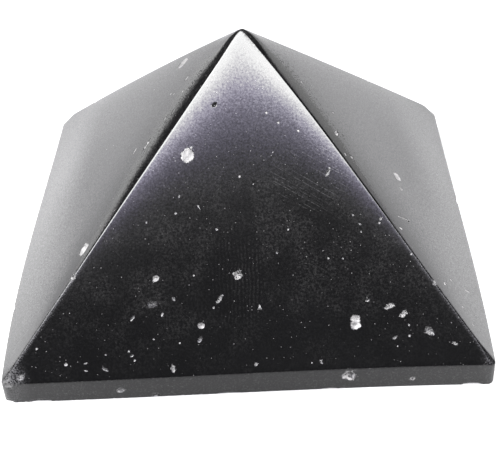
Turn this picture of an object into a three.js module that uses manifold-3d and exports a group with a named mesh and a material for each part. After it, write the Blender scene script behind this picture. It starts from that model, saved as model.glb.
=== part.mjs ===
// Obsidian pyramid: one piece of black volcanic glass, ground into a low four-sided
// pyramid on a short upright girdle and polished, with the gas pits, open inclusions
// and small chips that such a stone has.
// Millimetres, +Z up, resting on z = 0, with the front side facing -Y.
import * as THREE from "three";
import { mergeVertices } from "three/addons/utils/BufferGeometryUtils.js";
import Module from "manifold-3d";

const wasm = await Module();
wasm.setup();

// Driving dimensions
const BASE = 50; // width of the true square that the shoulder is measured from
const HEIGHT = 28.6;
const TIP = new THREE.Vector3(0.1, 0, HEIGHT);
const TIP_ROUND = 0.006; // blunting of the tip, as a share of the way down to the shoulder
const TIP_REACH = 0.07; // share of the way down over which the sides roll off to the tip
const SLOPE = 36; // length of a side from the shoulder up to the tip
const ARRIS_RADIUS = 0.25; // the four sloping edges are crisp, and open out at the corners
const CORNER_START = 0.9; // share of the way down where a sloping edge starts to open out
const CROWN = 0.42; // how far a polished side stands proud of the plane of its edges
const CROWN_REACH = 3.6; // distance from an edge over which a side falls away
const CROWN_FADE = 0.7; // share of the way down from which the crown fades to nothing
const RIM_BEVEL = 0.15; // lower edge of the girdle

// The corners of the shoulder, counterclockwise from the front left one. x and y are how far
// each stands from the true square, shoulder its height over the table, bow and skew the
// curve of the sloping edge that runs up from it, and radius and foot its round in plan.
const CORNERS = [
  { x: -0.45, y: -0.5, shoulder: 2.6, bow: 0.1, skew: 0.2, radius: 0.7, foot: 0.9 },
  { x: -0.1, y: 0.2, shoulder: 2.75, bow: 0.45, skew: -1.2, radius: 0.6, foot: 0.7 },
  { x: 0.05, y: -0.3, shoulder: 2.7, bow: 0.1, skew: 0, radius: 1.7, foot: 1.8 },
  { x: 0, y: 0.25, shoulder: 2.7, bow: 0.3, skew: -0.2, radius: 1.7, foot: 2.0 },
];

// The sides in the same order, each from its corner to the next: how far the middle of the
// shoulder bulges out (or in, below zero), how far that swings towards the next corner, and
// how much more the side rolls off at the tip than lower down.
const SIDES = [
  { bulge: -0.2, swing: 1.4, roll: 0 },
  { bulge: 0.2, swing: -1.6, roll: 2 },
  { bulge: 0.3, swing: 0.3, roll: 1 },
  { bulge: 0.6, swing: 0.8, roll: 3 },
];
const [FRONT, RIGHT, BACK, LEFT] = [0, 1, 2, 3];

// Open pits on the sloping sides. across is the distance from the middle of the side, up the
// distance up the slope from the shoulder, and turn the pit's own turn on the side in degrees.
const PITS = [
  { side: FRONT, across: -5.95, up: 22.6, length: 1.4, width: 1.15, depth: 0.12, turn: 75 },
  { side: FRONT, across: 11.05, up: 5.1, length: 0.95, width: 0.85, depth: 0.26, turn: 0 },
  { side: FRONT, across: 11.05, up: 4.5, length: 1.1, width: 0.95, depth: 0.3, turn: 0 },
  { side: FRONT, across: -4.7, up: 5.1, length: 0.7, width: 0.65, depth: 0.25, turn: 20 },
  { side: FRONT, across: -0.9, up: 10.05, length: 0.95, width: 0.75, depth: 0.2, turn: 130 },
  { side: FRONT, across: -2.8, up: 7.7, length: 1.0, width: 0.34, depth: 0.14, turn: 55 },
  { side: FRONT, across: -9.3, up: 10.05, length: 0.65, width: 0.5, depth: 0.2, turn: 35 },
  { side: FRONT, across: 14.6, up: 6.3, length: 0.95, width: 0.45, depth: 0.16, turn: 25 },
  { side: FRONT, across: 15.95, up: 5.45, length: 0.8, width: 0.45, depth: 0.16, turn: 60 },
  { side: FRONT, across: 18.55, up: 3.65, length: 1.15, width: 0.68, depth: 0.12, turn: 140 },
  { side: FRONT, across: -7.6, up: 0.9, length: 0.8, width: 0.36, depth: 0.16, turn: 95 },
  { side: FRONT, across: -3.1, up: 27.8, length: 0.6, width: 0.4, depth: 0.25, turn: 40 },
  { side: RIGHT, across: -4.35, up: 12.6, length: 1.2, width: 1.2, depth: 0.16, turn: 70 },
  { side: RIGHT, across: -6.75, up: 22.65, length: 0.9, width: 0.5, depth: 0.15, turn: 160 },
  { side: BACK, across: -15.5, up: 6.2, length: 1.2, width: 0.9, depth: 0.25, turn: 20 },
  { side: BACK, across: -8.1, up: 12.3, length: 1.3, width: 1.0, depth: 0.28, turn: 30 },
  { side: BACK, across: 5.3, up: 4.2, length: 1.0, width: 0.7, depth: 0.22, turn: 110 },
  { side: BACK, across: 1.4, up: 21.5, length: 0.9, width: 0.6, depth: 0.2, turn: 60 },
  { side: LEFT, across: 15.0, up: 12.2, length: 1.5, width: 1.1, depth: 0.12, turn: 127 },
  { side: LEFT, across: -4.6, up: 26.6, length: 1.7, width: 1.4, depth: 0.1, turn: 101 },
  { side: BACK, across: 13.5, up: 9.4, length: 1.0, width: 0.8, depth: 0.22, turn: 0 },
];

// Chips along the girdle, its shoulder and its lower rim: height is over the table, and tall
// is how high the chip is.
const CHIPS = [
  { side: FRONT, across: -24.9, height: 0.1, length: 1.7, tall: 1.0, depth: 0.38 },
  { side: FRONT, across: -21.4, height: 0.05, length: 2.6, tall: 0.9, depth: 0.22 },
  { side: FRONT, across: -24.6, height: 2.6, length: 1.4, tall: 1.0, depth: 0.22 },
  { side: FRONT, across: -13.1, height: 1.2, length: 0.9, tall: 0.7, depth: 0.2 },
  { side: FRONT, across: -9.6, height: 0.3, length: 1.0, tall: 0.6, depth: 0.25 },
  { side: FRONT, across: -2.2, height: 0, length: 2.4, tall: 0.5, depth: 0.2 },
  { side: FRONT, across: 8.3, height: 0, length: 2.0, tall: 0.5, depth: 0.2 },
  { side: FRONT, across: 10.3, height: 1.8, length: 1.5, tall: 1.2, depth: 0.3 },
  { side: FRONT, across: 16.8, height: 1.1, length: 0.6, tall: 0.5, depth: 0.14 },
  { side: FRONT, across: 22.9, height: 0, length: 2.4, tall: 0.7, depth: 0.3 },
  { side: RIGHT, across: -14.0, height: 0.1, length: 1.8, tall: 0.7, depth: 0.25 },
  { side: RIGHT, across: 3.6, height: 2.7, length: 1.5, tall: 0.8, depth: 0.25 },
  { side: RIGHT, across: 19.5, height: 0.1, length: 2.6, tall: 1.1, depth: 0.4 },
  { side: BACK, across: -15.2, height: 0, length: 2.0, tall: 0.8, depth: 0.3 },
  { side: BACK, across: -3.9, height: 1.4, length: 1.3, tall: 1.0, depth: 0.3 },
  { side: BACK, across: 12.7, height: 2.8, length: 1.6, tall: 0.8, depth: 0.25 },
  { side: LEFT, across: -17.5, height: 0.1, length: 2.4, tall: 1.0, depth: 0.35 },
  { side: LEFT, across: -2.6, height: 0, length: 1.9, tall: 0.7, depth: 0.25 },
  { side: LEFT, across: 13.4, height: 2.7, length: 1.3, tall: 0.7, depth: 0.22 },
];

// Nicks in the sloping edges: the corner that the edge runs up from, and the distance up it
const NICKS = [
  { corner: 0, up: 13.1, length: 0.7, depth: 0.14 },
  { corner: 1, up: 10.3, length: 0.6, depth: 0.14 },
  { corner: 2, up: 17.5, length: 1.0, depth: 0.25 },
  { corner: 3, up: 9.4, length: 1.2, depth: 0.25 },
];

// Fineness of the faceted solid
const SIDE_STEPS = 14;
const CORNER_STEPS = 3;
const LEVELS = [0.004, 0.01, 0.03, 0.07, 0.14, 0.24, 0.36, 0.49, 0.61, 0.72, 0.82, 0.9, 0.96, 1];
const WIDEST_ROUND = 0.35; // most of a side's width that one of its corner rounds may take
const TANGENT_STEP = 0.001; // share of a side's width over which its end direction is taken
const MERGE_DISTANCE = 1e-4;
const CUTTER_ROUGHNESS = 0.14; // unevenness of a pit or chip, as a share of its size
const CUTTER_LIFT = 0.25; // how far a cutter's middle stands outside, as a share of its depth
const SEED = 41;
const RANDOM_FACTOR = 16807; // the minimal standard generator
const RANDOM_MODULUS = 2147483647;

const NEXT = [1, 2, 3, 0];
const UP = new THREE.Vector3(0, 0, 1);
const SIGNS = [
  [-1, -1],
  [1, -1],
  [1, 1],
  [-1, 1],
];

const smooth = (low, high, value) => THREE.MathUtils.smoothstep(value, low, high);
const skewed = (share, skew) => 4 * share * (1 - share) * (1 + skew * (2 * share - 1));

const shoulders = CORNERS.map((corner, i) => {
  const [sx, sy] = SIGNS[i];
  return new THREE.Vector3((sx * BASE) / 2 + corner.x, (sy * BASE) / 2 + corner.y, corner.shoulder);
});

// Directions of each side: along it, square to its slope, and level outwards
const sides = SIDES.map((side, i) => {
  const along = shoulders[NEXT[i]].clone().sub(shoulders[i]).normalize();
  const normal = along.clone().cross(TIP.clone().sub(shoulders[i])).normalize();
  const out = along.clone().cross(UP).normalize();
  return { ...side, along, normal, out };
});

// Share of the full height that is lost at a share of the way down: straight, with a blunt tip
function fall(share) {
  return (Math.hypot(share, TIP_ROUND) - TIP_ROUND) / (Math.hypot(1, TIP_ROUND) - TIP_ROUND);
}

// Direction square to a sloping edge, outwards and up
function arrisNormal(i) {
  const down = shoulders[i].clone().sub(TIP).normalize();
  return UP.clone().addScaledVector(down, -UP.dot(down)).normalize();
}

// Point on a sloping edge, from the tip (share 0) to the shoulder (share 1)
function onArris(i, share) {
  const point = TIP.clone().lerp(shoulders[i], share);
  point.z = THREE.MathUtils.lerp(TIP.z, shoulders[i].z, fall(share));
  return point.addScaledVector(arrisNormal(i), CORNERS[i].bow * skewed(share, CORNERS[i].skew));
}

// Point on a side's surface, a distance along the line between two points of its edges
function onSide(i, start, end, share, distance, inset = 0) {
  const side = sides[i];
  const width = start.distanceTo(end);
  const crown = CROWN * (1 - smooth(CROWN_FADE, 1, share));
  const roll = 1 + side.roll * Math.exp(-((share / TIP_REACH) ** 2));
  const rise = (reach) => 1 - Math.exp(-reach / CROWN_REACH);
  const proud = (crown * roll * rise(distance) * rise(width - distance)) / rise(width);
  const bulge = side.bulge * share * share * skewed(distance / width, side.swing);
  return start
    .clone()
    .lerp(end, distance / width)
    .addScaledVector(side.normal, proud)
    .addScaledVector(side.out, bulge - inset);
}

// Point on a side, given across from its middle and up from its shoulder
function onSlope(i, across, up) {
  const share = 1 - up / SLOPE;
  const start = onArris(i, share);
  const end = onArris(NEXT[i], share);
  return onSide(i, start, end, share, start.distanceTo(end) / 2 + across);
}

// Point on the girdle, given across from the middle of its side and its height
function onGirdle(i, across, height) {
  const start = shoulders[i].clone().setZ(height);
  const end = shoulders[NEXT[i]].clone().setZ(height);
  return onSide(i, start, end, 1, start.distanceTo(end) / 2 + across);
}

// Round between two side ends that leaves each along its own direction
function cornerRound(from, fromDirection, to, toDirection) {
  const turn = fromDirection.angleTo(toDirection);
  const radius = from.distanceTo(to) / (2 * Math.sin(turn / 2));
  const handle = (4 / 3) * Math.tan(turn / 4) * radius;
  const curve = new THREE.CubicBezierCurve3(
    from,
    from.clone().addScaledVector(fromDirection, handle),
    to.clone().addScaledVector(toDirection, -handle),
    to,
  );
  return curve.getPoints(CORNER_STEPS).slice(0, CORNER_STEPS);
}

// Closed loop round the pyramid through four corner points. share is how far down the slope
// it lies, radii are the corner rounds, and inset draws the whole loop in.
function loop(points, share, radii, inset = 0) {
  const spans = sides.map((_, i) => {
    const start = points[i];
    const end = points[NEXT[i]];
    const width = start.distanceTo(end);
    const at = (distance) => onSide(i, start, end, share, distance, inset);
    const first = Math.min(radii[i] + inset, width * WIDEST_ROUND);
    const last = width - Math.min(radii[NEXT[i]] + inset, width * WIDEST_ROUND);
    const step = width * TANGENT_STEP;
    const leaving = at(first + step).sub(at(first)).normalize();
    const arriving = at(last).sub(at(last - step)).normalize();
    return { at, first, last, leaving, arriving };
  });
  return spans.flatMap((span, i) => {
    const vertices = [];
    for (let k = 0; k < SIDE_STEPS; k++) {
      // closer together near the corners, where the side falls away
      const part = (1 - Math.cos((Math.PI * k) / SIDE_STEPS)) / 2;
      vertices.push(span.at(THREE.MathUtils.lerp(span.first, span.last, part)));
    }
    const next = spans[NEXT[i]];
    const round = cornerRound(span.at(span.last), span.arriving, next.at(next.first), next.leaving);
    return [...vertices, ...round];
  });
}

// Loop on the four sloping sides
function slopeLoop(share) {
  const opening = smooth(CORNER_START, 1, share) ** 2;
  const radii = CORNERS.map((c) => THREE.MathUtils.lerp(ARRIS_RADIUS, c.radius, opening));
  const points = CORNERS.map((_, i) => onArris(i, share));
  return loop(points, share, radii);
}

// Loop on the girdle at a height, its corners opening out towards the foot
function girdleLoop(heightAt, inset) {
  const points = shoulders.map((p) => p.clone().setZ(heightAt(p.z)));
  const radii = CORNERS.map((c, i) => THREE.MathUtils.lerp(c.foot, c.radius, points[i].z / c.shoulder));
  return loop(points, 1, radii, inset);
}

// Loops joined into one closed surface, with a point at each end
function closedSurface(top, loops, bottom) {
  const count = loops[0].length;
  const vertices = [top, ...loops.flat(), bottom];
  const at = (row, column) => 1 + row * count + (column % count);
  const faces = [];
  for (let column = 0; column < count; column++) {
    faces.push(0, at(0, column), at(0, column + 1));
    for (let row = 0; row + 1 < loops.length; row++) {
      faces.push(at(row, column), at(row + 1, column), at(row + 1, column + 1));
      faces.push(at(row, column), at(row + 1, column + 1), at(row, column + 1));
    }
    faces.push(vertices.length - 1, at(loops.length - 1, column + 1), at(loops.length - 1, column));
  }
  const geometry = new THREE.BufferGeometry().setFromPoints(vertices);
  geometry.setIndex(faces);
  return geometry;
}

// Numbers from 0 to 1 that come out the same each time
function* steadyRandom(seed) {
  let state = seed;
  while (true) {
    state = (state * RANDOM_FACTOR) % RANDOM_MODULUS;
    yield state / RANDOM_MODULUS;
  }
}
const random = steadyRandom(SEED);

// Uneven round cutter with the given half sizes along three directions, about a middle
function cutter(middle, directions, halves) {
  const geometry = new THREE.IcosahedronGeometry(1, 1);
  geometry.deleteAttribute("normal");
  geometry.deleteAttribute("uv");
  const merged = mergeVertices(geometry, MERGE_DISTANCE);
  const position = merged.getAttribute("position");
  const basis = new THREE.Matrix4().makeBasis(...directions);
  const point = new THREE.Vector3();
  for (let i = 0; i < position.count; i++) {
    const size = 1 + CUTTER_ROUGHNESS * (2 * random.next().value - 1);
    point.fromBufferAttribute(position, i).multiplyScalar(size).multiply(halves);
    point.applyMatrix4(basis).add(middle);
    position.setXYZ(i, point.x, point.y, point.z);
  }
  return merged;
}

function pitCutter(pit) {
  const side = sides[pit.side];
  const angle = THREE.MathUtils.degToRad(pit.turn);
  const long = side.along.clone().applyAxisAngle(side.normal, angle);
  const short = side.normal.clone().cross(long);
  const middle = onSlope(pit.side, pit.across, pit.up);
  middle.addScaledVector(side.normal, pit.depth * CUTTER_LIFT);
  const halves = new THREE.Vector3(pit.length / 2, pit.width / 2, pit.depth * (1 + CUTTER_LIFT));
  return cutter(middle, [long, short, side.normal], halves);
}

function chipCutter(chip) {
  const side = sides[chip.side];
  const middle = onGirdle(chip.side, chip.across, chip.height);
  middle.addScaledVector(side.out, chip.depth * CUTTER_LIFT);
  const halves = new THREE.Vector3(chip.length / 2, chip.tall / 2, chip.depth * (1 + CUTTER_LIFT));
  return cutter(middle, [side.along, UP, side.out], halves);
}

function nickCutter(nick) {
  const length = shoulders[nick.corner].distanceTo(TIP);
  const out = arrisNormal(nick.corner);
  const down = shoulders[nick.corner].clone().sub(TIP).normalize();
  const middle = onArris(nick.corner, 1 - nick.up / length);
  const halves = new THREE.Vector3(nick.length / 2, nick.length / 3, nick.depth);
  return cutter(middle, [down, out.clone().cross(down), out], halves);
}

// A closed geometry as a solid that can be cut
function solidOf(geometry) {
  const bare = new THREE.BufferGeometry();
  bare.setAttribute("position", geometry.getAttribute("position"));
  bare.setIndex(geometry.getIndex());
  const merged = mergeVertices(bare, MERGE_DISTANCE);
  return new wasm.Manifold(
    new wasm.Mesh({
      numProp: 3,
      vertProperties: new Float32Array(merged.getAttribute("position").array),
      triVerts: new Uint32Array(merged.getIndex().array),
    }),
  );
}

// A solid as a geometry that three.js can draw
function geometryOf(solid) {
  const mesh = solid.getMesh();
  const geometry = new THREE.BufferGeometry();
  geometry.setAttribute("position", new THREE.BufferAttribute(mesh.vertProperties, 3));
  geometry.setIndex(new THREE.BufferAttribute(mesh.triVerts, 1));
  geometry.computeVertexNormals();
  return geometry;
}

// The ground and polished blank, from the tip down the slopes and the girdle to the underside
function blank() {
  const loops = [
    ...LEVELS.map(slopeLoop),
    girdleLoop((shoulder) => shoulder - RIM_BEVEL, 0),
    girdleLoop(() => RIM_BEVEL, 0),
    girdleLoop(() => 0, RIM_BEVEL),
  ];
  return closedSurface(TIP, loops, new THREE.Vector3());
}

// The blank centred over the origin, less its pits, chips and nicks
function pyramid() {
  const shape = blank();
  shape.computeBoundingBox();
  const centre = shape.boundingBox.getCenter(new THREE.Vector3()).setZ(0);
  const cutters = [...PITS.map(pitCutter), ...CHIPS.map(chipCutter), ...NICKS.map(nickCutter)];
  const solid = cutters.reduce((rest, cut) => rest.subtract(solidOf(cut)), solidOf(shape));
  return geometryOf(solid).translate(-centre.x, -centre.y, 0);
}

const obsidian = new THREE.MeshStandardMaterial({ color: 0x131316, roughness: 0.12, metalness: 0 });
const mesh = new THREE.Mesh(pyramid(), obsidian);
mesh.name = "obsidian_pyramid";
const group = new THREE.Group();
group.add(mesh);

export default group;
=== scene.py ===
# Obsidian pyramid: a small pyramid of polished black volcanic glass with white gas pits,
# on a pale floor under soft studio light. Metres, +Z up, the front side facing -Y.
import math
import random
from collections import namedtuple

import bmesh
import bpy
import numpy as np
from bpy.props import FloatProperty, FloatVectorProperty, PointerProperty
from mathutils import Matrix, Vector, noise


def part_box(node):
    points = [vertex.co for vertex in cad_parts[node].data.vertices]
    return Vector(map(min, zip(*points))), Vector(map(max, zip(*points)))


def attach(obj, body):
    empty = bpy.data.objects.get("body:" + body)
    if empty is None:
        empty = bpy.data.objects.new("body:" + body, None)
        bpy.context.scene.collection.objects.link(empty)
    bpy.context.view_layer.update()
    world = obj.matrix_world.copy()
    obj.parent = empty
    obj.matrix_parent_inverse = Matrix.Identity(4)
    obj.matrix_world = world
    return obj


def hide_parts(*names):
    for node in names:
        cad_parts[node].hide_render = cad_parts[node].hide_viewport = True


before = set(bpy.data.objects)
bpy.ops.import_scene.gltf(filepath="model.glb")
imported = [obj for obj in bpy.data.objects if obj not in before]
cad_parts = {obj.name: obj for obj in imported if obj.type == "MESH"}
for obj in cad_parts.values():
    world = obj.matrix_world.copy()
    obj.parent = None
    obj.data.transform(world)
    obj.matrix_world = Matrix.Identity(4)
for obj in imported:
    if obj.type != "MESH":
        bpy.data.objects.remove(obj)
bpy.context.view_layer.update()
NODE = "obsidian_pyramid"
LOW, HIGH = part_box(NODE)

bl_info = {
    "name": "Obsidian pyramid",
    "version": (1, 0, 0),
    "blender": (4, 5, 0),
    "location": "3D View > Sidebar > Obsidian",
    "description": "Polished obsidian pyramid with gas pits and chips, on a studio floor",
    "category": "Object",
}

MM = 0.001
FRONT, RIGHT, BACK, LEFT = range(4)
NEXT = (1, 2, 3, 0)
SIGNS = ((-1, -1), (1, -1), (1, 1), (-1, 1))
UP = np.array((0.0, 0.0, 1.0))

# Form of the blank, in millimetres: the true square and the height of a side along its slope
BASE = 50.0
SLOPE = 36.0

# The tip: its place, how blunt it is, and how much prouder the sides stand just below it
TIP = np.array((0.1, 0.0, HIGH.z / MM))
TIP_ROUND = 0.006
TIP_ROLL = (0.0, 2.0, 1.0, 3.0)
TIP_REACH = 0.07

# The sloping edges' round, the share of the way down where it starts to open out to that of
# the corners, the shoulder's round and the lower rim's bevel
ARRIS_RADIUS = 0.18
CORNER_START = 0.9
EDGE_ROUND = 0.12
RIM_BEVEL = 0.15

# As shares of a side's width: its widest end round, the step that gives the direction there,
# and where the crown changes from that of one end to the other's
WIDEST_ROUND = 0.35
TANGENT_STEP = 0.001
CROWN_CHANGE = (0.3, 0.8)

# Fineness of the mesh before the pits and chips are refined
SIDE_STEPS = 54
EVEN_SPACING = 0.35
CORNER_STEPS = 8
EDGE_STEPS = 5
SLOPE_STEPS = 84
GIRDLE_STEPS = 9
TIP_LEVELS = (0.0015, 0.003, 0.005, 0.0075, 0.011, 0.016, 0.024, 0.034)
SHOULDER_LEVEL = 1.0 - EDGE_ROUND / SLOPE
UNDERSIDE_SHARES = (0.98, 0.9, 0.7, 0.45, 0.2)

# The corners of the shoulder, counterclockwise from the front left one: how far each stands
# from the true square, the shoulder's height, the bow and skew of the sloping edge above it,
# and its round in plan at the shoulder and at the foot.
CORNERS = (
    {"x": -0.45, "y": -0.5, "shoulder": 2.6, "bow": 0.1, "skew": 0.2, "radius": 0.7, "foot": 0.9},
    {"x": -0.1, "y": 0.2, "shoulder": 2.75, "bow": 0.45, "skew": -1.2, "radius": 0.6, "foot": 0.7},
    {"x": 0.05, "y": -0.3, "shoulder": 2.7, "bow": 0.1, "skew": 0.0, "radius": 1.7, "foot": 1.8},
    {"x": 0.0, "y": 0.25, "shoulder": 2.7, "bow": 0.3, "skew": -0.2, "radius": 1.7, "foot": 2.0},
)

# The sides, each from its corner to the next: the bulge of the shoulder and its swing, and
# at each end how far the polished side stands proud, over what distance it falls away, and
# the share of the way down from which that fades.
SIDES = (
    {"bulge": -0.2, "swing": 1.4, "crown": (0.37, 0.35), "reach": (2.65, 2.7), "fade": (0.3, 0.35)},
    {"bulge": 0.2, "swing": -1.6, "crown": (0.4, 0.42), "reach": (3.3, 3.6), "fade": (0.4, 0.7)},
    {"bulge": 0.3, "swing": 0.3, "crown": (0.42, 0.42), "reach": (3.6, 3.6), "fade": (0.7, 0.7)},
    {"bulge": 0.6, "swing": 0.8, "crown": (0.42, 0.43), "reach": (3.6, 3.4), "fade": (0.7, 0.4)},
)


def unit(vector):
    return vector / np.linalg.norm(vector)


def smooth(low, high, value):
    """0 up to low, 1 from high on, and eased in between."""
    share = np.clip((value - low) / (high - low), 0.0, 1.0)
    return share * share * (3.0 - 2.0 * share)


def skewed(share, skew):
    """A bow over shares from 0 to 1, highest in the middle, that leans to one end."""
    return 4.0 * share * (1.0 - share) * (1.0 + skew * (2.0 * share - 1.0))


SHOULDERS = [
    np.array((sx * BASE / 2 + c["x"], sy * BASE / 2 + c["y"], c["shoulder"]))
    for (sx, sy), c in zip(SIGNS, CORNERS)
]
ALONG = [unit(SHOULDERS[NEXT[i]] - SHOULDERS[i]) for i in range(4)]
NORMAL = [unit(np.cross(ALONG[i], TIP - SHOULDERS[i])) for i in range(4)]
OUT = [unit(np.cross(ALONG[i], UP)) for i in range(4)]


def fall(share):
    """Share of the height lost at a share of the way down: straight, with a blunt tip."""
    full = math.hypot(1.0, TIP_ROUND) - TIP_ROUND
    return (math.hypot(share, TIP_ROUND) - TIP_ROUND) / full


def arris_normal(i):
    """Direction out of the stone at a sloping edge."""
    down = unit(SHOULDERS[i] - TIP)
    return unit(UP - down * (UP @ down))


def on_arris(i, share):
    """Point on a sloping edge, from the tip (share 0) to the shoulder (share 1)."""
    point = TIP + (SHOULDERS[i] - TIP) * share
    point[2] = TIP[2] + (SHOULDERS[i][2] - TIP[2]) * fall(share)
    return point + arris_normal(i) * CORNERS[i]["bow"] * skewed(share, CORNERS[i]["skew"])


def on_side(i, start, end, share, distance, inset=0.0):
    """Points on a side's surface, at distances along the line between two edge points."""
    side = SIDES[i]
    width = np.linalg.norm(end - start)
    distance = np.atleast_1d(distance)[:, None]
    part = distance / width
    crowns = [c * (1.0 - smooth(f, 1.0, share)) for c, f in zip(side["crown"], side["fade"])]
    crown = crowns[0] + (crowns[1] - crowns[0]) * smooth(*CROWN_CHANGE, part)
    first, last = side["reach"]
    rise = (1.0 - np.exp(-distance / first)) * (1.0 - np.exp(-(width - distance) / last))
    roll = 1.0 + TIP_ROLL[i] * math.exp(-((share / TIP_REACH) ** 2))
    rise *= roll / (1.0 - math.exp(-width / last))
    bulge = side["bulge"] * share * share * skewed(part, side["swing"])
    return start + (end - start) * part + NORMAL[i] * crown * rise + OUT[i] * (bulge - inset)


def on_slope(i, across, up):
    """Point on a side, across from its middle and up from its shoulder."""
    share = 1.0 - up / SLOPE
    start, end = on_arris(i, share), on_arris(NEXT[i], share)
    return on_side(i, start, end, share, np.linalg.norm(end - start) / 2 + across)[0]


def on_girdle(i, across, height):
    """Point on the girdle, across from the middle of its side and over the table."""
    start, end = SHOULDERS[i].copy(), SHOULDERS[NEXT[i]].copy()
    start[2] = end[2] = height
    return on_side(i, start, end, 1.0, np.linalg.norm(end - start) / 2 + across)[0]


def corner_round(start, leaving, end, arriving, steps):
    """Points of the round between two side ends, the last one left out."""
    turn = math.acos(float(np.clip(leaving @ arriving, -1.0, 1.0)))
    radius = np.linalg.norm(end - start) / (2.0 * math.sin(turn / 2.0))
    handle = 4.0 / 3.0 * math.tan(turn / 4.0) * radius
    u = (np.arange(steps) / steps)[:, None]
    v = 1.0 - u
    first, last = start + leaving * handle, end - arriving * handle
    return v**3 * start + 3.0 * v * v * u * first + 3.0 * v * u * u * last + u**3 * end


def loop(points, share, radii, inset=0.0):
    """Closed loop of points round the pyramid, through the rounds at its four corners."""
    spans = []
    for i in range(4):
        start, end = points[i], points[NEXT[i]]
        width = np.linalg.norm(end - start)
        first = min(radii[i] + inset, width * WIDEST_ROUND)
        last = width - min(radii[NEXT[i]] + inset, width * WIDEST_ROUND)
        step = width * TANGENT_STEP
        part = (1.0 - np.cos(np.pi * np.arange(SIDE_STEPS) / SIDE_STEPS)) / 2.0
        part = EVEN_SPACING * np.arange(SIDE_STEPS) / SIDE_STEPS + (1.0 - EVEN_SPACING) * part
        row = on_side(i, start, end, share, first + (last - first) * part, inset)
        ends = on_side(i, start, end, share, (first, first + step, last - step, last), inset)
        spans.append((row, ends, unit(ends[1] - ends[0]), unit(ends[3] - ends[2])))
    rows = []
    for i in range(4):
        row, ends, _, leaving = spans[i]
        _, next_ends, arriving, _ = spans[NEXT[i]]
        rows += [row, corner_round(ends[3], leaving, next_ends[0], arriving, CORNER_STEPS)]
    return np.vstack(rows)


def slope_loop(share):
    """Loop on the polished sides, at a share of the way down from the tip."""
    opening = float(smooth(CORNER_START, 1.0, share)) ** 2
    radii = [ARRIS_RADIUS + (c["radius"] - ARRIS_RADIUS) * opening for c in CORNERS]
    return loop([on_arris(i, share) for i in range(4)], share, radii)


def girdle_loop(part, drop=0.0, inset=0.0):
    """Loop on the girdle, at a part of its height (less a drop) over the table."""
    points = [np.array((p[0], p[1], p[2] * part - drop)) for p in SHOULDERS]
    radii = [c["foot"] + (c["radius"] - c["foot"]) * part for c in CORNERS]
    return loop(points, 1.0, radii, inset)


def eased(first, middle, last, steps):
    """Loops that round the edge at the middle loop, from the first to the last."""
    shares = np.arange(1, steps) / steps
    return [first * (1 - s) ** 2 + middle * 2 * s * (1 - s) + last * s * s for s in shares]


def blank_loops():
    """All the loops of the blank, from the tip down to the middle of the underside."""
    lower = np.linspace(TIP_LEVELS[-1], SHOULDER_LEVEL, SLOPE_STEPS)[1:]
    slopes = [slope_loop(share) for share in np.concatenate((TIP_LEVELS, lower))]
    top = girdle_loop(1.0, EDGE_ROUND)
    foot = girdle_loop(0.0, -RIM_BEVEL)
    rim = girdle_loop(0.0)
    under = girdle_loop(0.0, 0.0, RIM_BEVEL)
    shoulder = eased(slopes[-1], slope_loop(1.0), top, EDGE_STEPS)
    walls = [top + (foot - top) * part for part in np.linspace(0.0, 1.0, GIRDLE_STEPS)]
    middle = under.mean(axis=0)
    floor = [middle + (under - middle) * share for share in UNDERSIDE_SHARES]
    return slopes + shoulder + walls + eased(foot, rim, under, EDGE_STEPS) + floor


# Pits, stains and chips, in millimetres. across is measured from the middle of a side and up
# from its shoulder; turn is in degrees on the side. kind is how the pale mineral lies there.
# side, across, up, length, width, depth, turn, kind, strength of the mineral
PITS = (
    (FRONT, -5.95, 22.6, 1.4, 1.15, 0.12, 75, "bloom", 0.72),
    (FRONT, 11.05, 5.1, 0.95, 0.85, 0.26, 0, "ring", 0.8),
    (FRONT, 11.05, 4.5, 1.1, 0.95, 0.3, 0, "ring", 0.85),
    (FRONT, -4.7, 5.1, 0.7, 0.65, 0.25, 20, "ring", 0.9),
    (FRONT, -0.9, 10.05, 0.95, 0.75, 0.2, 130, "crust", 0.58),
    (FRONT, -2.8, 7.7, 1.0, 0.34, 0.14, 55, "crust", 0.48),
    (FRONT, -9.3, 10.05, 0.65, 0.5, 0.2, 35, "blot", 0.85),
    (FRONT, 14.6, 6.3, 0.95, 0.45, 0.16, 25, "crust", 0.8),
    (FRONT, 15.95, 5.45, 0.8, 0.45, 0.16, 60, "crust", 0.85),
    (FRONT, 18.55, 3.65, 1.15, 0.68, 0.12, 140, "crust", 0.34),
    (FRONT, -7.6, 0.9, 0.8, 0.36, 0.16, 95, "crust", 0.55),
    (FRONT, -3.1, 27.8, 0.6, 0.4, 0.25, 40, "bare", 0.0),
    (RIGHT, -4.35, 12.6, 1.2, 1.2, 0.16, 70, "blot", 0.85),
    (RIGHT, -6.75, 22.65, 0.9, 0.5, 0.15, 160, "blot", 0.9),
    (BACK, -15.5, 6.2, 1.2, 0.9, 0.25, 20, "ring", 0.9),
    (BACK, -8.1, 12.3, 1.3, 1.0, 0.28, 30, "bloom", 1.0),
    (BACK, 5.3, 4.2, 1.0, 0.7, 0.22, 110, "ring", 0.9),
    (BACK, 1.4, 21.5, 0.9, 0.6, 0.2, 60, "crust", 0.9),
    (LEFT, 15.0, 12.2, 1.5, 1.1, 0.12, 127, "blot", 0.72),
    (LEFT, -4.6, 26.6, 1.7, 1.4, 0.1, 101, "blot", 0.45),
    (BACK, 13.5, 9.4, 1.0, 0.8, 0.22, 0, "ring", 0.9),
)

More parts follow.
